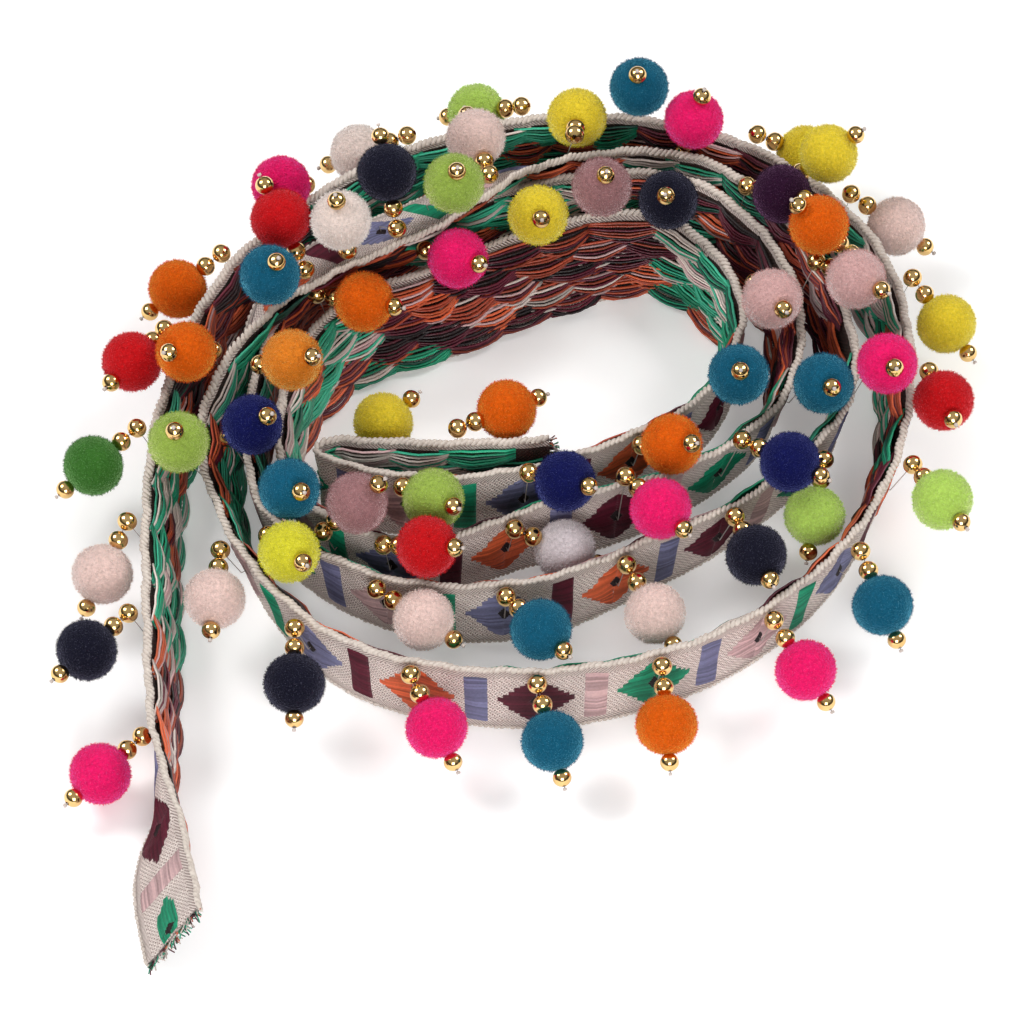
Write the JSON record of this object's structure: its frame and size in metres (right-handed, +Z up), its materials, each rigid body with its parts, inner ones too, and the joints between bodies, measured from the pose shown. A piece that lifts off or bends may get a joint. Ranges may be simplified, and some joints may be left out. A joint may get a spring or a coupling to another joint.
{
  "type": "roll of pompom trim",
  "caption": "Woven patterned tape wound on edge in a loose coil, with a felt pompom and gold beads hanging from each diamond along its outer face.",
  "frame": {"origin": "On the surface that the coil stands on, below the middle of the box round the whole roll.", "axes": "+Z up, away from the surface; +Y from the loose end towards the back of the coil; +X to the right, seen from the loose end."},
  "size_m": [0.1478, 0.1728, 0.0412],
  "materials": {
    "woven_tape": "twill weave with satin motifs",
    "felt_blue": "short felt pile",
    "felt_green": "short felt pile",
    "felt_light_pink": "short felt pile",
    "felt_lime": "short felt pile",
    "felt_magenta": "short felt pile",
    "felt_mauve": "short felt pile",
    "felt_navy": "short felt pile",
    "felt_orange": "short felt pile",
    "felt_pale_pink": "short felt pile",
    "felt_pink": "short felt pile",
    "felt_purple": "short felt pile",
    "felt_teal": "short felt pile",
    "felt_white": "short felt pile",
    "felt_yellow": "short felt pile"
  },
  "bodies": {
    "root": {"drops_01": "felt_magenta", "drops_02": "felt_green", "drops_03": "felt_orange", "drops_04": "felt_pale_pink", "drops_05": "felt_teal", "drops_06": "felt_yellow", "drops_07": "felt_lime", "drops_08": "felt_magenta", "drops_09": "felt_teal", "drops_10": "felt_navy", "drops_11": "felt_orange", "drops_12": "felt_pale_pink", "drops_13": "felt_yellow", "drops_14": "felt_yellow", "drops_15": "felt_magenta", "drops_16": "felt_light_pink", "drops_17": "felt_light_pink", "drops_18": "felt_blue", "drops_19": "felt_purple", "drops_20": "felt_pink", "drops_21": "felt_blue", "drops_22": "felt_white", "drops_23": "felt_teal", "drops_24": "felt_orange", "drops_25": "felt_mauve", "drops_26": "felt_teal", "drops_27": "felt_blue", "drops_28": "felt_yellow", "tape": "woven_tape"}
  },
  "joints": []
}
